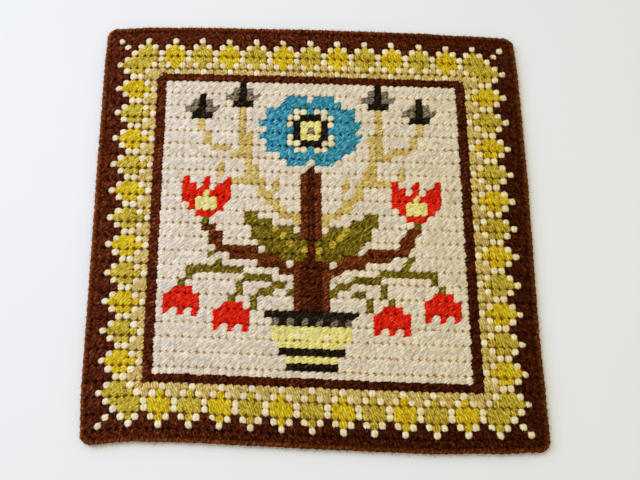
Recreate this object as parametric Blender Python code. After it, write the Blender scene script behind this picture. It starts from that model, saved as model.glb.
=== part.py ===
"""A square needlepoint panel: wool stitched on canvas, its edge bound with brown wool.

Units are metres with +Z up. The worked face looks up, and the underside lies on z = 0.
Canvas coordinates run along the canvas threads from the panel's centre; lie() turns
them into the plan of the finished cloth, which is a little skewed and uneven.
"""
import math

import bmesh
import bpy
from mathutils import Vector

MM = 0.001

# canvas and stitches
PITCH = 2.54 * MM             # ten canvas threads to the inch
STITCHES = 59                 # stitches across, and rows up
EDGE = STITCHES / 2 * PITCH   # from the centre to the outer side of the last row
CORNER = 0.6 * PITCH          # radius of the folded corners
ROW_CREST = 3.0 * MM          # top of a row of stitches, over canvas and back stitches
ROW_GROOVE = 0.15 * MM        # between two rows worked there and back
DEEP_GROOVE = 0.4 * MM        # between two such pairs of rows
RIM = 2.65 * MM               # height of the worked face along its edge

# the hem: two layers of bare canvas that the binding wraps
HEM_REACH = 0.8 * MM
HEM_LOW = 1.05 * MM
HEM_HIGH = 2.15 * MM

# the binding: wool whipped over the fold, one wrap in each canvas hole
WRAPS = 240
WRAP_GROOVE = 0.28 * MM       # how far the wool sinks between two wraps
WRAP_LEAN = 0.6 * PITCH       # how far a wrap travels along the edge from back to front

# how the worked cloth lies: a slant of its upright threads, and uneven edges
SKEW = -0.045
EDGE_REACH = 76.8 * MM        # where the unevenness below is measured
EDGE_FADE = 0.55              # the unevenness dies out at this share of the way to the centre
# outward shift in mm at nine even stations, from left to right or from bottom to top
UNEVEN = {
    "top": (-1.6, -0.35, 0.1, 0.15, 0.3, 0.1, -0.15, -0.8, -1.5),
    "bottom": (1.7, -0.15, -0.4, -0.1, 0.2, 0.3, 0.35, -0.4, -1.5),
    "left": (-0.8, 0.0, 0.1, 0.2, 0.3, 0.5, 0.4, 0.5, 0.1),
    "right": (0.1, 0.0, -0.3, -0.2, 0.1, 0.35, 0.25, 0.1, -0.5),
}

# the skirt of the panel, from the worked face down to the underside
SKIRT = (
    # reach, height
    (0.0, HEM_HIGH),
    (HEM_REACH, HEM_HIGH),
    (HEM_REACH, HEM_LOW),
    (0.0, HEM_LOW),
    (0.0, 0.0),
)

# the binding's section: six points round the wool, then four in the slot for the hem
BINDING = (
    # reach in mm, height in mm, share of the groove taken off between wraps
    (0.35, 2.80, 0.5),
    (1.10, 3.15, 1.0),
    (1.72, 2.45, 1.0),
    (1.92, 1.45, 1.0),
    (1.50, 0.35, 1.0),
    (0.60, 0.00, 1.0),
    (0.35, 0.75, 0.0),
    (1.12, 0.75, 0.0),
    (1.12, 2.45, 0.0),
    (0.35, 2.45, 0.0),
)
BINDING_HEART = (0.9, 1.55)   # reach and height in mm that the grooves sink towards

# canvas columns of the panel's mesh, in stitches from the centre
COLUMNS = (-29.5, -29.1, -28.5, -24.0, -18.0, -12.0, -6.0, 0.0,
           6.0, 12.0, 18.0, 24.0, 28.5, 29.1, 29.5)


def smooth(t):
    """An even ease from 0 to 1."""
    t = min(max(t, 0.0), 1.0)
    return t * t * (3.0 - 2.0 * t)


def uneven(side, along):
    """Outward shift of an edge at a distance along it from its middle."""
    values = UNEVEN[side]
    last = len(values) - 1
    t = min(max((along / EDGE_REACH + 1.0) / 2.0, 0.0), 1.0) * last
    step = min(int(t), last - 1)
    blend = smooth(t - step)
    return (values[step] * (1.0 - blend) + values[step + 1] * blend) * MM


def lie(x, y):
    """Plan position of a canvas point in the finished cloth."""
    right = smooth((x / EDGE_REACH - EDGE_FADE) / (1.0 - EDGE_FADE))
    left = smooth((-x / EDGE_REACH - EDGE_FADE) / (1.0 - EDGE_FADE))
    top = smooth((y / EDGE_REACH - EDGE_FADE) / (1.0 - EDGE_FADE))
    bottom = smooth((-y / EDGE_REACH - EDGE_FADE) / (1.0 - EDGE_FADE))
    across = right * uneven("right", y) - left * uneven("left", y)
    upward = top * uneven("top", x) - bottom * uneven("bottom", x)
    return x + SKEW * y + across, y + upward


def round_corner(x, y):
    """Moves a point of the corner squares onto the quarter disc that rounds them."""
    across = (abs(x) - EDGE) / CORNER + 1.0
    upward = (abs(y) - EDGE) / CORNER + 1.0
    if across <= 0.0 or upward <= 0.0:
        return x, y
    middle = EDGE - CORNER
    new_x = middle + CORNER * across * math.sqrt(1.0 - upward * upward / 2.0)
    new_y = middle + CORNER * upward * math.sqrt(1.0 - across * across / 2.0)
    return math.copysign(new_x, x), math.copysign(new_y, y)


def outward(x, y):
    """Unit direction away from the panel at a point of its rounded edge."""
    middle = EDGE - CORNER
    corner = Vector((max(abs(x) - middle, 0.0), max(abs(y) - middle, 0.0)))
    if corner.x and corner.y:
        corner.normalize()
        return math.copysign(corner.x, x), math.copysign(corner.y, y)
    if corner.x:
        return math.copysign(1.0, x), 0.0
    return 0.0, math.copysign(1.0, y)


def edge_point(turns):
    """Canvas point and outward direction at a share of the way round the panel's edge."""
    straight = 2.0 * (EDGE - CORNER)
    bend = CORNER * math.pi / 2.0
    side_length = straight + bend
    distance = (turns % 1.0) * 4.0 * side_length
    side = int(distance // side_length)
    along = distance - side * side_length
    if along < straight:
        point = Vector((EDGE, along - straight / 2.0))
        normal = Vector((1.0, 0.0))
    else:
        angle = (along - straight) / CORNER
        normal = Vector((math.cos(angle), math.sin(angle)))
        point = Vector((EDGE - CORNER, EDGE - CORNER)) + CORNER * normal
    for _ in range(side):
        point = Vector((-point.y, point.x))
        normal = Vector((-normal.y, normal.x))
    return point, normal


def finish(bm, name, material, collection):
    """Turns a closed bmesh into an object of the part."""
    bmesh.ops.recalc_face_normals(bm, faces=bm.faces)
    mesh = bpy.data.meshes.new(name)
    bm.to_mesh(mesh)
    bm.free()
    mesh.materials.append(material)
    obj = bpy.data.objects.new(name, mesh)
    collection.objects.link(obj)
    return obj


def row_height(half_row):
    """Height of the worked face on a row's crest, or in the groove between two rows."""
    if half_row % 2:
        return ROW_CREST
    rows_above = STITCHES - half_row // 2
    return ROW_CREST - (DEEP_GROOVE if rows_above % 2 == 0 else ROW_GROOVE)


def make_panel(material, collection):
    """The stitched canvas: rows of stitches on top, a flat back, a hem all round."""
    bm = bmesh.new()
    across = len(COLUMNS) - 1
    upward = STITCHES * 2
    bmesh.ops.create_grid(bm, x_segments=across, y_segments=upward, size=1.0)
    for vert in bm.verts:
        column = round((vert.co.x + 1.0) / 2.0 * across)
        half_row = round((vert.co.y + 1.0) / 2.0 * upward)
        x, y = round_corner(COLUMNS[column] * PITCH, (half_row - STITCHES) / 2.0 * PITCH)
        vert.co = (x, y, RIM if vert.is_boundary else row_height(half_row))
    edges = [edge for edge in bm.edges if edge.is_boundary]
    last_reach = 0.0
    for reach, height in SKIRT:
        grown = bmesh.ops.extrude_edge_only(bm, edges=edges)["geom"]
        edges = [item for item in grown if isinstance(item, bmesh.types.BMEdge) and item.is_boundary]
        for vert in [item for item in grown if isinstance(item, bmesh.types.BMVert)]:
            away_x, away_y = outward(vert.co.x, vert.co.y)
            vert.co.x += away_x * (reach - last_reach)
            vert.co.y += away_y * (reach - last_reach)
            vert.co.z = height
        last_reach = reach
    bmesh.ops.contextual_create(bm, geom=edges)
    for vert in bm.verts:
        vert.co.x, vert.co.y = lie(vert.co.x, vert.co.y)
    return finish(bm, "stitched_canvas", material, collection)


def make_binding(material, collection):
    """One ring of whipped wool, grooved between its wraps, with a slot for the hem."""
    bm = bmesh.new()
    stations = WRAPS * 2
    points = len(BINDING)
    bmesh.ops.create_grid(bm, x_segments=stations, y_segments=points, size=1.0)
    heart_reach, heart_height = BINDING_HEART
    for vert in bm.verts:
        station = round((vert.co.x + 1.0) / 2.0 * stations) % stations
        index = round((vert.co.y + 1.0) / 2.0 * points) % points
        reach, height, share = BINDING[index]
        if station % 2:
            length = math.hypot(reach - heart_reach, height - heart_height)
            sink = share * WRAP_GROOVE / MM / length
            reach += (heart_reach - reach) * sink
            height += (heart_height - height) * sink
        edge_length = 4.0 * (2.0 * (EDGE - CORNER) + CORNER * math.pi / 2.0)
        lean = WRAP_LEAN / edge_length * (0.5 - height / (ROW_CREST / MM)) if share else 0.0
        point, normal = edge_point(station / stations + lean)
        x, y = lie(*(point + normal * reach * MM))
        vert.co = (x, y, height * MM)
    bmesh.ops.remove_doubles(bm, verts=bm.verts, dist=0.001 * MM)
    return finish(bm, "whipped_binding", material, collection)


def centre_plan(objects):
    """Moves the meshes so that the middle of their common box stands on the origin."""
    corners = [vert.co for obj in objects for vert in obj.data.vertices]
    middle_x = (min(c.x for c in corners) + max(c.x for c in corners)) / 2.0
    middle_y = (min(c.y for c in corners) + max(c.y for c in corners)) / 2.0
    for obj in objects:
        for vert in obj.data.vertices:
            vert.co.x -= middle_x
            vert.co.y -= middle_y


def make_material(name, colour, roughness):
    """A plain wool finish."""
    material = bpy.data.materials.new(name)
    material.use_nodes = True
    shader = material.node_tree.nodes["Principled BSDF"]
    shader.inputs["Base Color"].default_value = (*colour, 1.0)
    shader.inputs["Roughness"].default_value = roughness
    shader.inputs["Metallic"].default_value = 0.0
    return material


for old in list(bpy.data.objects):
    bpy.data.objects.remove(old, do_unlink=True)
part = bpy.data.collections.new("needlepoint_panel")
bpy.context.scene.collection.children.link(part)
field_wool = make_material("field_wool", (0.72, 0.64, 0.50), 0.9)
brown_wool = make_material("brown_wool", (0.11, 0.035, 0.02), 0.9)
panel = make_panel(field_wool, part)
binding = make_binding(brown_wool, part)
centre_plan([panel, binding])
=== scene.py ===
"""Looks of a square needlepoint panel: wool stitches on canvas with a whipped wool edge."""
import math
import random

import bmesh
import bpy
from mathutils import Euler, Matrix, Vector


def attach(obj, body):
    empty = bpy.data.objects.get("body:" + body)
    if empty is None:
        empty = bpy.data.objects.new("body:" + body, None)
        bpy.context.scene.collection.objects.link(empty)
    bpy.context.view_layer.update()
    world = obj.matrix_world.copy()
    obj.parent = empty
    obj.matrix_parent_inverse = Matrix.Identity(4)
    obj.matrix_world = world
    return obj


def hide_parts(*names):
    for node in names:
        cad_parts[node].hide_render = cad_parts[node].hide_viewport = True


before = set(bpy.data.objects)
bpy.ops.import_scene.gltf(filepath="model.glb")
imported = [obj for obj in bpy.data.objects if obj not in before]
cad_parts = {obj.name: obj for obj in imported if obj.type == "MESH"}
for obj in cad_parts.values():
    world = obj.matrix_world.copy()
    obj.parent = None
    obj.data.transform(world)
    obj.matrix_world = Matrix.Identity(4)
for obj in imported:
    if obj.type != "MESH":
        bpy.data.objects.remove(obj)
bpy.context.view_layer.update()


# The ground: a square of cotton canvas, ten threads to the inch. Its cut margin is
# turned to the back all round as a flat hem with mitred corners, which the binding
# holds. The stitches hide the rest of it.
MM = 0.001
PITCH = 2.54 * MM             # one canvas thread and one hole
STITCHES = 59                 # stitches across, and rows up
EDGE = STITCHES / 2 * PITCH   # from the centre to the outer side of the last row
CORNER = 0.6 * PITCH          # radius of the folded corners
CANVAS_HEIGHT = 1.45 * MM
CANVAS_THICK = 0.35 * MM
HEM_WIDTH = 12.0 * MM
HEM_HEIGHT = 0.5 * MM
FOLD = (
    # reach in mm, height in mm
    (0.80, 1.40),
    (1.10, 1.00),
    (0.80, 0.60),
)

# how the worked cloth lies: a slant of its upright threads, a field that the stitches
# have drawn in, and uneven edges
SKEW = -0.045
DRAWN_IN = (
    # all in stitches: place from the centre, then the shift inwards across and upwards
    (0.0, 0.0, 0.0),
    (21.5, 0.43, 0.10),
    (22.5, 0.20, 0.08),
    (28.5, 0.10, 0.03),
    (29.5, 0.0, 0.0),
)
DRAWN_TO = 22.5 * PITCH       # the bands beyond the field keep their spacing
CENTRED = (0.021 * MM, 0.623 * MM)    # sets the middle of the finished outline on the origin
EDGE_REACH = 76.8 * MM        # where the unevenness below is measured
EDGE_FADE = 0.55              # it dies out at this share of the way to the centre
# outward shift in mm at nine even stations, from left to right or from bottom to top
UNEVEN = {
    "top": (-1.6, -0.35, 0.1, 0.15, 0.3, 0.1, -0.15, -0.8, -1.5),
    "bottom": (1.7, -0.15, -0.4, -0.1, 0.2, 0.3, 0.35, -0.4, -1.5),
    "left": (-0.8, 0.0, 0.1, 0.2, 0.3, 0.5, 0.4, 0.5, 0.1),
    "right": (0.1, 0.0, -0.3, -0.2, 0.1, 0.35, 0.25, 0.1, -0.5),
}


def smooth(t):
    """An even ease from 0 to 1."""
    t = min(max(t, 0.0), 1.0)
    return t * t * (3.0 - 2.0 * t)


def uneven(side, along):
    """Outward shift of an edge at a distance along it from its middle."""
    values = UNEVEN[side]
    last = len(values) - 1
    t = min(max((along / EDGE_REACH + 1.0) / 2.0, 0.0), 1.0) * last
    step = min(int(t), last - 1)
    blend = smooth(t - step)
    return (values[step] * (1.0 - blend) + values[step + 1] * blend) * MM


def draw_in(place, column):
    """A canvas place along one axis after the stitches have drawn the field in."""
    stitches = abs(place) / PITCH
    shift = 0.0
    for inner, outer in zip(DRAWN_IN, DRAWN_IN[1:]):
        if inner[0] <= stitches < outer[0]:
            share = (stitches - inner[0]) / (outer[0] - inner[0])
            shift = inner[column] * (1.0 - share) + outer[column] * share
    return math.copysign((stitches - shift) * PITCH, place)


def lie(x, y):
    """Place of a canvas point in the finished cloth, seen from above."""
    right = smooth((x / EDGE_REACH - EDGE_FADE) / (1.0 - EDGE_FADE))
    left = smooth((-x / EDGE_REACH - EDGE_FADE) / (1.0 - EDGE_FADE))
    top = smooth((y / EDGE_REACH - EDGE_FADE) / (1.0 - EDGE_FADE))
    bottom = smooth((-y / EDGE_REACH - EDGE_FADE) / (1.0 - EDGE_FADE))
    across = right * uneven("right", y) - left * uneven("left", y)
    upward = top * uneven("top", x) - bottom * uneven("bottom", x)
    drawn = 1.0 - smooth((abs(y) - DRAWN_TO) / (2.5 * PITCH))
    across += drawn * (draw_in(x, 1) - x)
    upward += draw_in(y, 2) - y
    return x + SKEW * y + across + CENTRED[0], y + upward + CENTRED[1]


def round_corner(x, y):
    """Moves a point of the corner squares onto the quarter disc that rounds them."""
    across = (abs(x) - EDGE) / CORNER + 1.0
    upward = (abs(y) - EDGE) / CORNER + 1.0
    if across <= 0.0 or upward <= 0.0:
        return x, y
    middle = EDGE - CORNER
    new_x = middle + CORNER * across * math.sqrt(1.0 - upward * upward / 2.0)
    new_y = middle + CORNER * upward * math.sqrt(1.0 - across * across / 2.0)
    return math.copysign(new_x, x), math.copysign(new_y, y)


def outward(x, y):
    """Unit direction away from the panel at a point of its rounded edge."""
    middle = EDGE - CORNER
    corner = Vector((max(abs(x) - middle, 0.0), max(abs(y) - middle, 0.0)))
    if corner.length < 1e-9:
        return 0.0, 0.0
    corner.normalize()
    return math.copysign(corner.x, x), math.copysign(corner.y, y)


def finish_piece(bm, name, material):
    """Turns a bmesh into a smooth-shaded object of the scene."""
    mesh = bpy.data.meshes.new(name)
    bm.to_mesh(mesh)
    bm.free()
    mesh.shade_smooth()
    mesh.materials.append(material)
    obj = bpy.data.objects.new(name, mesh)
    bpy.context.scene.collection.objects.link(obj)
    return obj


def add_node(tree, kind, inputs=(), **settings):
    """A shader node. Each input is a socket with its value, or with the socket that feeds it."""
    made = tree.nodes.new(kind)
    for name, value in settings.items():
        setattr(made, name, value)
    for socket, value in inputs:
        if isinstance(value, bpy.types.NodeSocket):
            tree.links.new(value, made.inputs[socket])
        else:
            made.inputs[socket].default_value = value
    return made


def add_math(tree, operation, first, second=0.0, third=0.0):
    """The output of a math node."""
    inputs = [(0, first), (1, second), (2, third)]
    return add_node(tree, "ShaderNodeMath", inputs, operation=operation).outputs[0]


def add_range(tree, value, low, high, to_low=0.0, to_high=1.0):
    """A value spread smoothly from one range to another."""
    inputs = [("Value", value), ("From Min", low), ("From Max", high), ("To Min", to_low), ("To Max", to_high)]
    made = add_node(tree, "ShaderNodeMapRange", inputs, interpolation_type="SMOOTHSTEP")
    return made.outputs["Result"]


def add_mix(tree, share, first, second):
    """A colour between two colours."""
    inputs = [(0, share), (6, first), (7, second)]
    return add_node(tree, "ShaderNodeMix", inputs, data_type="RGBA").outputs[2]


def dye(red, green, blue):
    """A colour from its screen values of 0 to 255."""
    values = [channel / 255.0 for channel in (red, green, blue)]
    linear = [v / 12.92 if v <= 0.04045 else ((v + 0.055) / 1.055) ** 2.4 for v in values]
    return (*linear, 1.0)


def canvas_material():
    """Cream cotton canvas: stiff threads over and under each other, with painted shade in the holes between them.
    """
    material = bpy.data.materials.new("cotton_canvas")
    material.use_nodes = True
    tree = material.node_tree
    shader = tree.nodes["Principled BSDF"]
    threads = add_node(tree, "ShaderNodeUVMap", uv_map="threads").outputs[0]
    place = add_node(tree, "ShaderNodeSeparateXYZ", [(0, threads)]).outputs
    waves = []
    for axis in (0, 1):
        turn = add_math(tree, "MULTIPLY", place[axis], 2.0 * math.pi)
        waves.append(add_math(tree, "COSINE", turn))
    rounded = [add_range(tree, wave, -0.35, 0.9) for wave in waves]
    over = add_math(tree, "MAXIMUM", rounded[0], rounded[1])
    grain = add_node(tree, "ShaderNodeTexNoise", [("Vector", threads), ("Scale", 9.0), ("Detail", 3.0)])
    cotton = add_mix(tree, grain.outputs[0], dye(188, 172, 134), dye(226, 214, 182))
    # painted shade: in the holes, where no thread lies over, the canvas is painted dark brown
    cotton = add_mix(tree, add_range(tree, over, 0.0, 0.35), dye(112, 88, 60), cotton)
    printed_and_shaded = add_node(tree, "ShaderNodeAttribute", attribute_name="print_and_hole_shade")
    shown = add_mix(tree, printed_and_shaded.outputs["Alpha"], cotton, printed_and_shaded.outputs["Color"])
    tree.links.new(shown, shader.inputs["Base Color"])
    height = add_math(tree, "MULTIPLY_ADD", grain.outputs[0], 0.25, over)
    bump = add_node(tree, "ShaderNodeBump", [("Height", height), ("Strength", 0.8), ("Distance", 0.3 * MM)])
    tree.links.new(bump.outputs[0], shader.inputs["Normal"])
    shader.inputs["Roughness"].default_value = 0.85
    shader.inputs["Specular IOR Level"].default_value = 0.1
    return material


canvas_mesh = bmesh.new()
bmesh.ops.create_grid(canvas_mesh, x_segments=STITCHES, y_segments=STITCHES, size=EDGE)
for vert in canvas_mesh.verts:
    vert.co.x, vert.co.y = round_corner(vert.co.x, vert.co.y)
    vert.co.z = CANVAS_HEIGHT
rim = [edge for edge in canvas_mesh.edges if edge.is_boundary]
last_reach = 0.0
for reach, height in FOLD:
    grown = bmesh.ops.extrude_edge_only(canvas_mesh, edges=rim)["geom"]
    rim = [item for item in grown if isinstance(item, bmesh.types.BMEdge) and item.is_boundary]
    for vert in [item for item in grown if isinstance(item, bmesh.types.BMVert)]:
        away_x, away_y = outward(vert.co.x, vert.co.y)
        vert.co.x += away_x * (reach - last_reach) * MM
        vert.co.y += away_y * (reach - last_reach) * MM
        vert.co.z = height * MM
    last_reach = reach
grown = bmesh.ops.extrude_edge_only(canvas_mesh, edges=rim)["geom"]
for vert in [item for item in grown if isinstance(item, bmesh.types.BMVert)]:
    inner = EDGE - HEM_WIDTH
    vert.co.x = min(max(vert.co.x, -inner), inner)
    vert.co.y = min(max(vert.co.y, -inner), inner)
    vert.co.z = HEM_HEIGHT
bmesh.ops.remove_doubles(canvas_mesh, verts=canvas_mesh.verts, dist=0.01 * MM)
thread_map = canvas_mesh.loops.layers.uv.new("threads")
for face in canvas_mesh.faces:
    for loop in face.loops:
        loop[thread_map].uv = (loop.vert.co.x / PITCH, loop.vert.co.y / PITCH)
for vert in canvas_mesh.verts:
    vert.co.x, vert.co.y = lie(vert.co.x, vert.co.y)
bmesh.ops.recalc_face_normals(canvas_mesh, faces=canvas_mesh.faces)
canvas = finish_piece(canvas_mesh, "canvas_ground", canvas_material())
thicken = canvas.modifiers.new("thread_thickness", "SOLIDIFY")
thicken.thickness = CANVAS_THICK
thicken.offset = 0.0
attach(canvas, "root")
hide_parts("stitched_canvas")


# The design: every canvas crossing takes one stitch, and a letter says in which wool.
# A band of small flower heads runs round a plain field, between a thin brown frame and
# one plain brown row. A sprig in a pot fills the field, the same on both sides.
YARNS = {
    # letter: name, how patchy its dye is, how strongly painted light brightens it towards the upper left and
    # darkens it towards the lower right, bloom, main colour, light and dark fibres
    "b": ("brown", 0.60, 0.34, 0.0, (86, 35, 15), (130, 66, 37), (41, 13, 5)),
    "w": ("white", 0.03, 0.0, 0.03, (249, 236, 201), (255, 250, 229), (224, 201, 150)),
    "m": ("mustard", 0.18, 0.03, 0.02, (228, 205, 38), (249, 231, 90), (176, 126, 4)),
    "o": ("olive", 0.18, 0.05, 0.02, (214, 193, 68), (236, 221, 112), (148, 109, 13)),
    "t": ("tan", 0.14, 0.04, 0.02, (222, 201, 121), (246, 231, 175), (171, 128, 49)),
    "f": ("field", 0.08, 0.02, 0.03, (242, 229, 209), (253, 246, 231), (208, 186, 155)),
    "s": ("sky", 0.16, 0.0, 0.02, (67, 164, 190), (166, 227, 237), (10, 88, 112)),
    "c": ("coral", 0.16, 0.0, 0.02, (245, 38, 13), (251, 98, 70), (168, 8, 4)),
    "d": ("moss", 0.20, 0.0, 0.02, (132, 114, 25), (202, 188, 82), (62, 44, 2)),
    "y": ("lemon", 0.10, 0.0, 0.02, (251, 242, 156), (255, 250, 204), (210, 186, 90)),
    "k": ("black", 0.3, 0.0, 0.0, (38, 31, 20), (88, 76, 60), (10, 6, 4)),
    "g": ("grey", 0.2, 0.0, 0.02, (144, 132, 112), (202, 192, 170), (72, 60, 43)),
    "r": ("russet", 0.4, 0.0, 0.0, (118, 54, 20), (168, 104, 54), (54, 18, 4)),
}
FRAME = 7       # the stitch of the brown frame, counted from the edge
REPEAT = (
    # from the frame outwards: gap, then the flower head's left, middle and right
    "ttwt",
    "twmw",
    "wmmm",
    "wmmm",
    "bwmw",
    "bbwb",
    "bbbb",
)
CORNER_CHART = (
    # from the frame's corner outwards, both ways alike
    "twoowbb",
    "woooowb",
    "oooowbb",
    "ooowbbb",
    "wowbwbb",
    "bwbbbwb",
    "bbbbbbb",
)
MOTIFS = {
    "flower": (
        "....sss.sss....",
        "...sssssssss...",
        ".sssswwswwssss.",
        ".ssswwkkkwwsss.",
        "sssswkyyykwssss",
        ".sssskygykssss.",
        "sssswkyyykwssss",
        ".ssswwkkkwwsss.",
        ".sssswwswwssss.",
        "...sssssssss...",
        "....sss.sss....",
    ),
    "tulip": (
        "c..c..c",
        "cc.c.cc",
        "cccyccc",
        "ccyyycc",
        ".cyyyc.",
        "..ccc..",
        "...d...",
    ),
    "leaf": (
        "dd.......",
        "dddd.....",
        ".dddodd..",
        ".ddddodd.",
        "..ddddodd",
        "...dddddo",
        ".....dddd",
    ),
    "bell": (
        "..d..",
        ".ccc.",
        "ccccc",
        "ccccc",
        "c.c.c",
    ),
    "bud": (
        "..k..",
        ".gkg.",
        "ggkgg",
        ".kkk.",
        "..t..",
    ),
    "pot": (
        "kkkkkkkkkkkkk",
        ".gkgkgkgkgkg.",
        ".yyyyyyyyyyy.",
        ".yyywyyywyyy.",
        "..yyyyyyyyy..",
        "..kkkkkkkkk..",
        "...yyyyyyy...",
        "...kkkkkkk...",
    ),
}
SPRIG = (
    # motif, left column and upper row in the field; each has its mirror image
    ("bud", 3, 2),
    ("bud", 9, 0),
    ("leaf", 12, 20),
    ("tulip", 3, 15),
    ("bell", 1, 30),
    ("bell", 8, 32),
    ("flower", 14, 2),
    ("pot", 15, 34),
)
STEMS = (
    # wool, then the columns and rows that the stem runs through
    ("t", (20, 21), (16, 18), (13, 14), (12, 10), (11, 5)),
    ("t", (19, 21), (15, 18), (12, 14), (11, 10), (11, 5)),
    ("t", (11, 11), (7, 10), (5, 7)),
    ("t", (13, 15), (9, 15), (8, 13)),
    ("t", (15, 17), (16, 15)),
    ("d", (19, 32), (15, 29), (8, 28), (4, 28), (3, 30)),
    ("d", (12, 29), (10, 32)),
    ("d", (9, 28), (7, 26)),
    ("d", (16, 30), (13, 32), (13, 33)),
    ("r", (20, 30), (16, 27), (11, 26), (8, 25), (6, 22)),
    ("r", (20, 29), (16, 26), (11, 25), (9, 25), (7, 22)),
    ("r", (20, 14), (20, 33)),
    ("r", (19, 25), (19, 33)),
    ("b", (21, 13), (21, 33)),
    ("b", (20, 24), (20, 33)),
)
FIELD = STITCHES - 2 * (FRAME + 1)


def chart_field():
    """The field's letters by column and row, with the sprig and its mirror image."""
    letters = {}

    def stitch(letter, column, row):
        letters[column, row] = letter
        letters[FIELD - 1 - column, row] = letter

    for letter, *points in STEMS:
        for (column, row), (next_column, next_row) in zip(points, points[1:]):
            steps = max(abs(next_column - column), abs(next_row - row))
            for step in range(steps + 1):
                share = step / steps
                stitch(letter, round(column + (next_column - column) * share),
                       round(row + (next_row - row) * share))
    for motif, left, upper in SPRIG:
        for down, line in enumerate(MOTIFS[motif]):
            for over, letter in enumerate(line):
                if letter != ".":
                    stitch(letter, left + over, upper + down)
    return letters


def chart_letter(column, row, field_letters):
    """The letter of the stitch at a column and row, counted from the upper left."""
    last = STITCHES - 1
    edge_column = min(column, last - column)
    edge_row = min(row, last - row)
    out = FRAME - min(edge_column, edge_row)
    if out < 0:
        return field_letters.get((column - FRAME - 1, row - FRAME - 1), "f")
    if out == 0:
        return "b"
    if edge_column < FRAME and edge_row < FRAME:
        return CORNER_CHART[FRAME - 1 - edge_column][FRAME - 1 - edge_row]
    along = (column if edge_row < FRAME else row) - FRAME
    letter = REPEAT[out - 1][along % 4]
    if letter == "m" and along // 4 % 2:
        return "o"
    return letter


# The design on the canvas: the face of the canvas is painted with the design to stitch over, in dull paint
# darkened towards the wools' dark fibres as painted shade. The paint runs together round each hole, and shows
# there as a soft dark fleck of painted shade.
PRINT_FROM = 0.7 * MM         # the paint goes round the fold, down to this height
# painted shade: the paint is kept this dull so that the canvas in the holes reads as shaded
PRINT_SHADE = 0.55             # strength of the paint, as a share of the wool's dark fibres

sprig_letters = chart_field()


def printed_shaded_colour(x, y):
    """Paint on the canvas at a hole: a mean of the dark fibres of the wools that meet there, except white,
    darkened as painted shade.
    """
    across = x / PITCH + STITCHES / 2.0
    down = STITCHES / 2.0 - y / PITCH
    letters = []
    for column in (math.floor(across - 0.5), math.floor(across + 0.5)):
        for row in (math.floor(down - 0.5), math.floor(down + 0.5)):
            column_in = min(max(column, 0), STITCHES - 1)
            row_in = min(max(row, 0), STITCHES - 1)
            letters.append(chart_letter(column_in, row_in, sprig_letters))
    coloured = [letter for letter in letters if letter != "w"] or letters
    dyes = [dye(*YARNS[letter][6]) for letter in coloured]
    return [PRINT_SHADE * sum(channel) / len(dyes) for channel in zip(*dyes)][:3]


# the design paint on the face of the canvas, darkened as painted shade for the holes
printed_and_shaded = canvas.data.attributes.new("print_and_hole_shade", "FLOAT_COLOR", "CORNER")
for face in canvas.data.polygons:
    for corner in face.loop_indices:
        across, upward = canvas.data.uv_layers["threads"].data[corner].uv
        paint = printed_shaded_colour(across * PITCH, upward * PITCH)
        printed_and_shaded.data[corner].color = (*paint, 1.0 if face.center.z > PRINT_FROM else 0.0)


# The stitches: tapestry wool in slanting stitches, worked there and back in pairs of
# rows. Each is a short plump length of plied yarn that arches over a crossing of the
# canvas and dives into a hole. Fine hairs stand loose on them.
YARN_FORMS = {
    # half of length, width and thickness as shares of the pitch, ridges of the plies as a
    # share of the thickness, turn of the plies over half the length in radians, plies
    "field": (0.84, 0.60, 0.16, 0.42, 0.25, 3),
    "colour": (0.84, 0.62, 0.19, 0.34, 0.45, 4),
    "lone": (0.74, 0.60, 0.20, 0.30, 0.60, 3),
    "knob": (0.56, 0.53, 0.24, 0.18, 0.85, 2),
    "back": (1.18, 0.30, 0.19, 0.18, 0.85, 2),
    "wrap": (1.0, 1.0, 1.0, 0.18, 0.85, 3),
}
TIP_BLUNT = 0.6               # how an end that dives narrows: 1 is round, and 0 is square
MEET_BLUNT = 0.5              # the same of the other end
RUN_ON_BLUNT = 0.148          # and of one that runs on into the pair's other row
STITCH_ARCH = 0.29            # rise of a stitch's middle, as a share of the pitch
STITCH_HEIGHT = 1.58 * MM     # the middle of the yarn where it lies on the canvas
STITCH_DIVE = 0.60            # how far it sinks into the hole between two pairs of rows
RUN_ON = 1.16                 # the end that meets the pair's other row is longer by this
KNOB_LIFT = 0.08 * MM         # a white stitch is fuller and rounder, and stands higher
FRAME_PLUMP = 1.14            # the single line of the frame is fuller
SIDE_PLUMP = 1.40             # and fullest where it runs upwards
PAIR_SHIFT = 0.05             # the two rows of a pair close up by this share each
# painted shade: the wool is darkened in the holes, as if shaded there
PIT_SHADE_HEIGHT = 2.30 * MM        # the wool darkens in the holes below this height
PIT_SHADE_DEPTH = 0.5 * MM          # and is darkest this much lower
SUNK_SHADE = {
    # painted shade where the wool sinks: it darkens from this share of its length, below this height, and how much
    "field": (1.2, PIT_SHADE_HEIGHT, 0.25),
    "colour": (1.2, PIT_SHADE_HEIGHT, 0.5),
    "knob": (0.78, 0.0, 0.0),
    "wrap": (0.58, 0.0, 0.0),
}
PLACE_SPREAD = 0.03           # chance in a stitch's place, as a share of the pitch
TURN_SPREAD = 0.08            # in its turn, in radians
TILT_SPREAD = 0.05            # and in its tilt
FIBRES_ACROSS = 1.7           # streaks of fibre across a ply
FIBRES_ASLANT = 4.0           # how far they run across the plies along a stitch
FIBRES_ALONG = 3.2            # streaks along a stitch
FLUFF_SCALE = 2600.0          # patterns to a metre
CLUMP_SCALE = 1100.0
BROAD_SCALE = 45.0
WINDOW_LIGHT_REACH = 0.09              # painted light shows from this far left of the middle to this far right: brighter and bluer towards the window at the upper left, darker and yellower towards the right
WINDOW_SIDE_TINT = (1.0, 1.0, 1.06, 1.0)
FAR_SIDE_TINT = (0.96, 0.94, 0.80, 1.0)
HAIRS = 5.0                   # loose hairs to a stitch
HAIR_THICK = 0.022 * MM
HAIR_TILT = (0.5, 0.4)        # chance in a hair's two tilts, in radians


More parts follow.
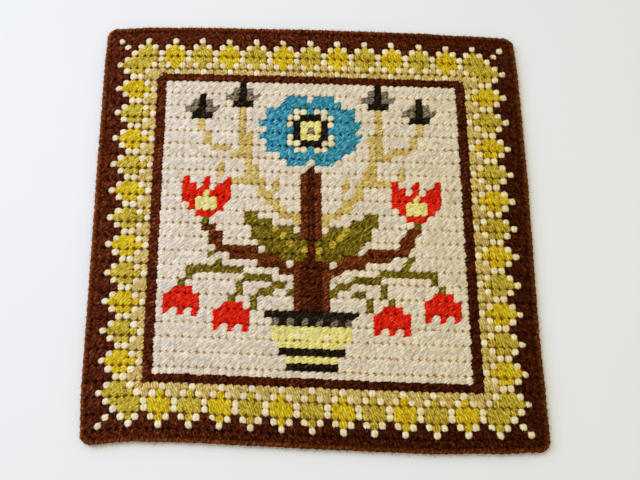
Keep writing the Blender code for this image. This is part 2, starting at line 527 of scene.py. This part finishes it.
def yarn_shape(form, rings, dive=0.0, meet=0.0, run_on=1.0, steep=4.0):
    """A small mesh of yarn along X, with its map. Its plies lie side by side on a flattish
    top, and it sinks by its own depth at each end."""
    length, width, thick, ridges, twist, plies = YARN_FORMS[form]
    bm = bmesh.new()
    bm.loops.layers.uv.new("yarn")
    bmesh.ops.create_uvsphere(bm, u_segments=4 * plies, v_segments=rings, radius=1.0, calc_uvs=True)
    for vert in bm.verts:
        along = vert.co.z
        girth = math.hypot(vert.co.x, vert.co.y)
        angle = math.atan2(vert.co.y, vert.co.x)
        ridge = math.cos(2.0 * plies * angle) * (1.0 if plies % 2 else -1.0)
        blunt = TIP_BLUNT
        if along <= 0.0:
            blunt = RUN_ON_BLUNT if run_on > 1.0 else MEET_BLUNT
        fullness = girth ** blunt if girth > 1e-6 else 0.0
        angle += twist * along
        aside = math.asin(math.sin(angle)) / (math.pi / 2.0)
        flat = math.copysign(math.sqrt(abs(math.cos(angle))), math.cos(angle))
        below = flat * (1.0 + ridges * ridge)
        sink = dive if along > 0.0 else meet
        vert.co.x = along * length * (1.0 if along > 0.0 else run_on)
        vert.co.y = fullness * aside * width
        vert.co.z = STITCH_ARCH - fullness * below * thick - sink * abs(along) ** steep
    yarn_map = bm.loops.layers.uv["yarn"]
    for face in bm.faces:
        for loop in face.loops:
            loop[yarn_map].uv.x = loop[yarn_map].uv.x * 2.0 * plies + (0.0 if plies % 2 else 0.5)
    bmesh.ops.recalc_face_normals(bm, faces=bm.faces)
    mesh = bpy.data.meshes.new("yarn_shape")
    bm.to_mesh(mesh)
    bm.free()
    return mesh


def hair_shape():
    """A single loose fibre: a thin arc that rises from the origin and lies over along X."""
    bm = bmesh.new()
    bm.loops.layers.uv.new("yarn")
    ring = bmesh.ops.create_circle(bm, segments=3, radius=1.0)["verts"]
    bmesh.ops.spin(bm, geom=ring + list(bm.edges), cent=(35.0, 0.0, 0.0), axis=(0.0, 1.0, 0.0),
                   dvec=(0.0, 0.0, 0.0), angle=math.radians(110.0), steps=2, use_merge=False,
                   use_duplicate=False)
    bmesh.ops.recalc_face_normals(bm, faces=bm.faces)
    mesh = bpy.data.meshes.new("hair_shape")
    bm.to_mesh(mesh)
    bm.free()
    return mesh


def hair_place(spot, tilt, chance):
    """Where a loose hair stands: at a spot, tilted, turned and lengthened by chance."""
    lean = (chance.gauss(0.0, tilt[0]), chance.gauss(0.0, tilt[1]), chance.uniform(0.0, 6.3))
    turn = Euler(lean).to_matrix().to_4x4()
    grow = Matrix.Diagonal((HAIR_THICK * chance.uniform(0.5, 1.2), HAIR_THICK, HAIR_THICK * 0.5, 1.0))
    return Matrix.Translation(spot) @ turn @ grow


def join_copies(bm, shape, places):
    """Adds a copy of a small mesh to a bmesh at each place."""
    for place in places:
        copy = shape.copy()
        copy.transform(place)
        bm.from_mesh(copy)
        bpy.data.meshes.remove(copy)


def give_shades(mesh, counts, chance):
    """Stores one random shade for each copy in a mesh; counts pairs copies with their points."""
    values = []
    for copies, points in counts:
        for _ in range(copies):
            values += [chance.random()] * points
    shades = mesh.attributes.new("shade", "FLOAT", "POINT")
    shades.data.foreach_set("value", values)


def spun_wool():
    """Node group for wool yarn: fibres drawn along the twist, with painted shade between its plies and where it
    sinks into the holes, dye that took unevenly, and painted light that makes it brighter and bluer towards the
    upper left and darker and yellower towards the right."""
    group = bpy.data.node_groups.new("spun_wool", "ShaderNodeTree")
    for name in ("Main", "Light", "Dark"):
        group.interface.new_socket(name, in_out="INPUT", socket_type="NodeSocketColor")
    for name in ("Patchy", "Window Light", "Sunk Shade From", "Pit Shade Height", "Pit Shade Strength"):
        group.interface.new_socket(name, in_out="INPUT", socket_type="NodeSocketFloat")
    group.interface.new_socket("Colour", in_out="OUTPUT", socket_type="NodeSocketColor")
    group.interface.new_socket("Relief", in_out="OUTPUT", socket_type="NodeSocketFloat")
    wools = add_node(group, "NodeGroupInput").outputs
    uv = add_node(group, "ShaderNodeUVMap", uv_map="yarn").outputs[0]
    place = add_node(group, "ShaderNodeSeparateXYZ", [(0, uv)]).outputs
    shade = add_node(group, "ShaderNodeAttribute", attribute_name="shade").outputs["Fac"]
    aslant = add_math(group, "MULTIPLY", place[1], FIBRES_ASLANT)
    across = add_math(group, "MULTIPLY_ADD", place[0], FIBRES_ACROSS, aslant)
    down = add_math(group, "MULTIPLY", place[1], FIBRES_ALONG)
    apart = add_math(group, "MULTIPLY", shade, 91.0)
    drawn = add_node(group, "ShaderNodeCombineXYZ", [(0, across), (1, down), (2, apart)]).outputs[0]
    cloth = add_node(group, "ShaderNodeTexCoord").outputs["Object"]
    fibre, fluff, broad, clumps = [
        add_node(group, "ShaderNodeTexNoise", [("Vector", spread), ("Scale", scale), ("Detail", 2.0)]).outputs[0]
        for spread, scale in ((drawn, 1.0), (cloth, FLUFF_SCALE), (cloth, BROAD_SCALE), (cloth, CLUMP_SCALE))
    ]
    colour = add_mix(group, add_range(group, fibre, 0.30, 0.56), wools["Dark"], wools["Main"])
    colour = add_mix(group, add_range(group, fibre, 0.52, 0.76), colour, wools["Light"])
    # painted shade: the grooves between the plies turn towards the dark fibres
    ridge = add_math(group, "COSINE", add_math(group, "MULTIPLY", place[0], 2.0 * math.pi))
    colour = add_mix(group, add_range(group, ridge, -1.0, 0.0, 0.65, 0.0), colour, wools["Dark"])
    # painted shade: towards the end that sinks into a hole, and in the holes below the pit height, the wool turns
    # to a darkened copy of its dark fibres
    shadow = add_node(group, "ShaderNodeVectorMath", [(0, wools["Dark"]), ("Scale", 0.55)], operation="SCALE")
    shadow = shadow.outputs[0]
    sunk_shade = add_math(group, "SUBTRACT", place[1], wools["Sunk Shade From"])
    colour = add_mix(group, add_range(group, sunk_shade, 0.0, 0.25), colour, shadow)
    spot = add_node(group, "ShaderNodeSeparateXYZ", [(0, cloth)]).outputs
    below = add_math(group, "SUBTRACT", spot[2], wools["Pit Shade Height"])
    pit_shade = add_range(group, below, -PIT_SHADE_DEPTH, 0.0, 1.0, 0.0)
    pit_shade = add_math(group, "MULTIPLY", pit_shade, add_math(group, "MULTIPLY_ADD", shade, 0.5, wools["Pit Shade Strength"]))
    in_front = add_math(group, "GREATER_THAN", spot[2], HEM_HEIGHT + CANVAS_THICK)
    pit_shade = add_math(group, "MULTIPLY", pit_shade, in_front)
    colour = add_mix(group, pit_shade, colour, shadow)
    level = add_math(group, "MULTIPLY_ADD", shade, 0.14, 0.84)
    level = add_math(group, "MULTIPLY_ADD", broad, 0.18, level)
    uneven_dye = add_math(group, "MULTIPLY", add_range(group, clumps, 0.32, 0.68, -1.0, 1.0), wools["Patchy"])
    level = add_math(group, "MULTIPLY_ADD", level, uneven_dye, level)
    # painted light: brighter towards the upper left, where the window lamp stands, and darker away from it, and
    # tinted bluer on the left and yellower on the right like the lamps' light
    aslant = add_math(group, "MULTIPLY_ADD", spot[1], 0.45, add_math(group, "MULTIPLY", spot[0], -1.0))
    toward_window = add_range(group, aslant, -WINDOW_LIGHT_REACH, WINDOW_LIGHT_REACH, -1.0, 1.0)
    painted_window_light = add_math(group, "MULTIPLY", toward_window, wools["Window Light"])
    level = add_math(group, "MULTIPLY_ADD", level, painted_window_light, level)
    light_colour_tint = add_mix(group, add_range(group, spot[0], -WINDOW_LIGHT_REACH, WINDOW_LIGHT_REACH), WINDOW_SIDE_TINT, FAR_SIDE_TINT)
    colour = add_node(group, "ShaderNodeVectorMath", [(0, colour), (1, light_colour_tint)], operation="MULTIPLY").outputs[0]
    shown = add_node(group, "ShaderNodeVectorMath", [(0, colour), ("Scale", level)], operation="SCALE")
    relief = add_math(group, "MULTIPLY_ADD", fluff, 0.5, fibre)
    add_node(group, "NodeGroupOutput", [("Colour", shown.outputs[0]), ("Relief", relief)])
    return group


def wool_material(name, group, sinks, patchy, window_light, bloom, main, light, dark):
    """A matt wool with a soft bloom of hairs."""
    material = bpy.data.materials.new(name)
    material.use_nodes = True
    tree = material.node_tree
    shader = tree.nodes["Principled BSDF"]
    wool = tree.nodes.new("ShaderNodeGroup")
    wool.node_tree = group
    for socket, values in (("Main", main), ("Light", light), ("Dark", dark)):
        wool.inputs[socket].default_value = dye(*values)
    measures = zip(("Patchy", "Window Light", "Sunk Shade From", "Pit Shade Height", "Pit Shade Strength"), (patchy, window_light, *sinks))
    for socket, value in measures:
        wool.inputs[socket].default_value = value
    tree.links.new(wool.outputs["Colour"], shader.inputs["Base Color"])
    relief = [("Height", wool.outputs["Relief"]), ("Strength", 0.6), ("Distance", 0.12 * MM)]
    tree.links.new(add_node(tree, "ShaderNodeBump", relief).outputs[0], shader.inputs["Normal"])
    shader.inputs["Roughness"].default_value = 0.88
    shader.inputs["Specular IOR Level"].default_value = bloom
    shader.inputs["Sheen Weight"].default_value = bloom
    shader.inputs["Sheen Roughness"].default_value = 0.6
    shader.inputs["Sheen Tint"].default_value = dye(*light)
    shader.inputs["Subsurface Weight"].default_value = 0.6
    shader.inputs["Subsurface Radius"].default_value = (1.0, 0.8, 0.5)
    shader.inputs["Subsurface Scale"].default_value = 0.35 * MM
    return material


def from_edge(column, row):
    """How many stitches lie between a stitch and the nearest edge."""
    return min(column, row, STITCHES - 1 - column, STITCHES - 1 - row)


def slant(column, row):
    """Lean of a stitch from the cloth's width, which changes where the canvas was turned."""
    if from_edge(column, row) >= FRAME:
        return math.radians(45.0)
    if column < FRAME or column + row < 2 * FRAME:
        return math.radians(56.0)
    return math.radians(124.0)


chance = random.Random(59)
wool_group = spun_wool()
lone_stitch = yarn_shape("lone", 6, STITCH_DIVE, STITCH_ARCH)
knob_stitch = yarn_shape("knob", 6, STITCH_ARCH, STITCH_ARCH, steep=2.6)
loose_hair = hair_shape()
front_places = {letter: [] for letter in YARNS}
lone_places = {letter: [] for letter in YARNS}
for row in range(STITCHES):
    for column in range(STITCHES):
        letter = chart_letter(column, row, sprig_letters)
        closer = PAIR_SHIFT if row % 2 else -PAIR_SHIFT
        turned = math.pi if row % 2 else 0.0
        canvas_x = (column - (STITCHES - 1) / 2.0) * PITCH
        canvas_y = ((STITCHES - 1) / 2.0 - row + closer) * PITCH
        x, y = lie(*round_corner(canvas_x, canvas_y))
        x += chance.gauss(0.0, PLACE_SPREAD) * PITCH
        y += chance.gauss(0.0, PLACE_SPREAD) * PITCH
        plump = FRAME_PLUMP if from_edge(column, row) == FRAME else 1.0
        if plump > 1.0 and column in (FRAME, STITCHES - 1 - FRAME):
            plump = SIDE_PLUMP
        loose = 2.0 if letter == "w" else 1.0
        size = Matrix.Diagonal((
            PITCH * (1.01 + loose * chance.uniform(-0.05, 0.05)) * plump,
            PITCH * (0.98 + loose * chance.uniform(-0.06, 0.06)) * plump,
            PITCH * chance.uniform(0.92, 1.08),
            1.0,
        ))
        lean = slant(column, row)
        turn = Matrix.Rotation(lean + turned + chance.gauss(0.0, TURN_SPREAD * loose), 4, "Z")
        turn = turn @ Matrix.Rotation(chance.gauss(0.0, TILT_SPREAD), 4, "Y")
        height = STITCH_HEIGHT + (KNOB_LIFT if letter == "w" else 0.0)
        if letter not in "wb":
            # a stitch that stands more upright is shorter between its two holes
            size[0][0] *= math.sin(math.radians(45.0)) / math.sin(lean)
        side = 1 if lean < math.pi / 2.0 else -1
        met = (column + side, row - 1) if row % 2 else (column - side, row + 1)
        inside = 0 <= met[0] < STITCHES and met[1] < STITCHES
        runs_on = inside and letter != "w" and chart_letter(*met, sprig_letters) == letter
        places = front_places if runs_on else lone_places
        places[letter].append(Matrix.Translation((x, y, height)) @ turn @ size)
wools = {}
for letter, (name, patchy, window_light, bloom, main, light, dark) in YARNS.items():
    places = front_places[letter] + lone_places[letter]
    if not places:
        continue
    hair_places = []
    for _ in range(int(len(places) * HAIRS)):
        under = chance.choice(places)
        spot = under @ Vector((chance.uniform(-0.5, 0.5), chance.uniform(-0.3, 0.3), 0.35))
        hair_places.append(hair_place(spot, HAIR_TILT, chance))
    form = {"f": "field", "w": "knob"}.get(letter, "colour")
    material = wool_material(name + "_yarn", wool_group, SUNK_SHADE[form], patchy, window_light, bloom, main, light, dark)
    wools[letter] = material
    stitch = yarn_shape("field" if letter == "f" else "colour", 6, STITCH_DIVE, run_on=RUN_ON)
    lone = knob_stitch if letter == "w" else lone_stitch
    joined = [(stitch, front_places[letter]), (lone, lone_places[letter])]
    for part, copies in (("stitches", joined), ("hairs", [(loose_hair, hair_places)])):
        bm = bmesh.new()
        for shape, spots in copies:
            join_copies(bm, shape, spots)
        piece = finish_piece(bm, name + "_" + part, material)
        give_shades(piece.data, [(len(spots), len(shape.vertices)) for shape, spots in copies], chance)
        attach(piece, "root")


# The back of the work: the same yarns pass from stitch to stitch in long flat slants.
# They show inside the turned hem, and lie on whatever the panel is put down on.
BACK_SPREAD = 0.08 * MM       # chance in a yarn's height over the table
BACK_SLANT = math.radians(26.6)

float_shape = yarn_shape("back", 4)
back_places = {letter: [] for letter in YARNS}
hidden = math.ceil(HEM_WIDTH / PITCH)
for row in range(hidden, STITCHES - hidden):
    for column in range(hidden, STITCHES - hidden):
        letter = chart_letter(column, row, sprig_letters)
        x, y = lie((column - (STITCHES - 1) / 2.0) * PITCH, ((STITCHES - 1) / 2.0 - row) * PITCH)
        turn = Matrix.Rotation(BACK_SLANT + chance.gauss(0.0, TURN_SPREAD), 4, "Z")
        size = Matrix.Diagonal((PITCH, PITCH * chance.uniform(0.85, 1.1), PITCH, 1.0))
        height = chance.uniform(-BACK_SPREAD, BACK_SPREAD)
        back_places[letter].append(Matrix.Translation((x, y, height)) @ turn @ size)
for letter, (name, *_) in YARNS.items():
    if not back_places[letter]:
        continue
    bm = bmesh.new()
    join_copies(bm, float_shape, back_places[letter])
    piece = finish_piece(bm, name + "_back_yarns", wools[letter])
    give_shades(piece.data, [(len(back_places[letter]), len(float_shape.vertices))], chance)
    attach(piece, "root")


# The binding: brown wool whipped over the folded edge through every canvas hole, one
# plump wrap beside the other. It comes up on the face just inside the fold, goes over
# and round it, and down into the back.
WRAPS = 240
WRAP_LEAN = 0.6 * PITCH       # how far a wrap travels along the edge from back to front
WRAP_WIDTH = 0.65 * PITCH     # half of it
WRAP_THICK = 0.60             # half of it, in mm
WRAP_TIGHT = 0.65 * MM        # the lower edge is pulled in by this much
EDGE_HAIRS = 20               # loose hairs to a wrap
EDGE_TILT = (0.7, 0.7)        # chance in their two tilts, in radians
EDGE_WOOL = (0.5, 0.2, 0.0, (128, 63, 24), (174, 100, 54), (68, 27, 9))    # as in the wools' table
WRAP_PATH = (
    # reach in mm and height in mm of the yarn's middle, from the face to the back
    (-0.10, 1.55),
    (0.20, 2.25),
    (0.75, 2.62),
    (1.38, 2.30),
    (1.70, 1.60),
    (1.45, 0.95),
    (0.75, 0.62),
    (-0.10, 0.60),
    (-0.50, 0.90),
)


def edge_point(turns):
    """Canvas point and outward direction at a share of the way round the panel's edge."""
    straight = 2.0 * (EDGE - CORNER)
    bend = CORNER * math.pi / 2.0
    side_length = straight + bend
    distance = (turns % 1.0) * 4.0 * side_length
    side = int(distance // side_length)
    along = distance - side * side_length
    if along < straight:
        point = Vector((EDGE, along - straight / 2.0))
        normal = Vector((1.0, 0.0))
    else:
        angle = (along - straight) / CORNER
        normal = Vector((math.cos(angle), math.sin(angle)))
        point = Vector((EDGE - CORNER, EDGE - CORNER)) + CORNER * normal
    for _ in range(side):
        point = Vector((-point.y, point.x))
        normal = Vector((-normal.y, normal.x))
    return point, normal


def wrap_path(share):
    """Reach, height and their direction at a share of the way along a wrap."""
    last = len(WRAP_PATH) - 1
    step = min(int(share * last), last - 1)
    blend = share * last - step
    first = Vector(WRAP_PATH[step])
    second = Vector(WRAP_PATH[step + 1])
    return first.lerp(second, blend), (second - first).normalized()


def bend_wrap(verts, turns, chance):
    """Bends an upright yarn shape of unit size over the edge."""
    length = 4.0 * (2.0 * (EDGE - CORNER) + CORNER * math.pi / 2.0)
    plump = chance.uniform(0.92, 1.08)
    for vert in verts:
        share = (1.0 - vert.co.x) / 2.0
        middle, ahead = wrap_path(share)
        out = Vector((-ahead.y, ahead.x)) * (vert.co.z - STITCH_ARCH) * WRAP_THICK * plump
        reach = (middle.x + out.x) * MM
        height = (middle.y + out.y) * MM
        travel = (0.5 - share) * WRAP_LEAN - vert.co.y * WRAP_WIDTH * plump
        point, normal = edge_point(turns + travel / length)
        held_in = WRAP_TIGHT * max(-normal.y, 0.0) * share
        x, y = lie(*(point + normal * (reach - held_in)))
        vert.co = (x, y, height)


wrap_shape = yarn_shape("wrap", 9)
binding_mesh = bmesh.new()
wrap_tops = []
for wrap in range(WRAPS):
    turns = (wrap + chance.gauss(0.0, 0.06)) / WRAPS
    start = len(binding_mesh.verts)
    binding_mesh.from_mesh(wrap_shape)
    binding_mesh.verts.ensure_lookup_table()
    bend_wrap(binding_mesh.verts[start:], turns, chance)
    wrap_tops.append(turns)
edge_hairs = []
for _ in range(WRAPS * EDGE_HAIRS):
    point, normal = edge_point(chance.choice(wrap_tops) + chance.gauss(0.0, 0.4) / WRAPS)
    middle, ahead = wrap_path(chance.uniform(0.2, 0.7))
    out = Vector((-ahead.y, ahead.x)) * WRAP_THICK
    x, y = lie(*(point + normal * (middle.x + out.x) * MM))
    edge_hairs.append(hair_place((x, y, (middle.y + out.y) * MM), EDGE_TILT, chance))
join_copies(binding_mesh, loose_hair, edge_hairs)
bmesh.ops.recalc_face_normals(binding_mesh, faces=binding_mesh.faces)
for vert in binding_mesh.verts:
    vert.co.z = max(vert.co.z, 0.01 * MM)
edge_wool = wool_material("edge_yarn", wool_group, SUNK_SHADE["wrap"], *EDGE_WOOL)
binding = finish_piece(binding_mesh, "whipped_edge", edge_wool)
edge_counts = [(WRAPS, len(wrap_shape.vertices)), (len(edge_hairs), len(loose_hair.vertices))]
give_shades(binding.data, edge_counts, chance)
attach(binding, "root")
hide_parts("whipped_binding")


# The stage: a smooth white table top under soft daylight that comes from the upper
# left and off the cream ceiling. The camera looks down at it.
FACE_HEIGHT = 2.9 * MM


def table_material():
    """Off-white laminate with a very faint mottle."""
    material = bpy.data.materials.new("white_table")
    material.use_nodes = True
    tree = material.node_tree
    shader = tree.nodes["Principled BSDF"]
    cloth = add_node(tree, "ShaderNodeTexCoord").outputs["Object"]
    mottle = add_node(tree, "ShaderNodeTexNoise", [("Vector", cloth), ("Scale", 14.0), ("Detail", 3.0)]).outputs[0]
    tree.links.new(add_mix(tree, mottle, dye(234, 235, 235), dye(238, 239, 240)), shader.inputs["Base Color"])
    shader.inputs["Roughness"].default_value = 0.6
    return material


table_mesh = bmesh.new()
bmesh.ops.create_grid(table_mesh, x_segments=4, y_segments=4, size=1.5)
table = finish_piece(table_mesh, "table_top", table_material())

world = bpy.data.worlds.new("room")
bpy.context.scene.world = world
world.use_nodes = True
world.node_tree.nodes["Background"].inputs["Color"].default_value = (1.0, 0.985, 0.88, 1.0)
world.node_tree.nodes["Background"].inputs["Strength"].default_value = 0.495
for name, place, size, power, colour in (
    ("window", (-0.45, 0.15, 0.50), 0.5, 2.42, (0.39, 0.50, 1.0)),
    ("ceiling", (-0.10, 0.06, 0.62), 0.5, 1.74, (1.0, 0.917, 0.603)),
):
    lamp = bpy.data.lights.new(name, "AREA")
    lamp.size = size
    lamp.energy = power
    lamp.color = colour
    lamp_object = bpy.data.objects.new(name, lamp)
    lamp_object.location = place
    lamp_object.rotation_euler = (-Vector(place)).to_track_quat("-Z", "Y").to_euler()
    bpy.context.scene.collection.objects.link(lamp_object)

lens = bpy.data.cameras.new("viewer")
lens.sensor_width = 36.0
lens.lens = 45.0
lens.clip_start = 0.01
viewer = bpy.data.objects.new("viewer", lens)
viewer.rotation_euler = (0.29337, 0.01528, 0.03682)
stand = viewer.rotation_euler.to_matrix() @ Vector((3.083, -6.053, 280.763)) * MM
viewer.location = stand + Vector((*CENTRED, FACE_HEIGHT))
bpy.context.scene.collection.objects.link(viewer)
bpy.context.scene.camera = viewer
bpy.context.scene.view_settings.view_transform = "Standard"
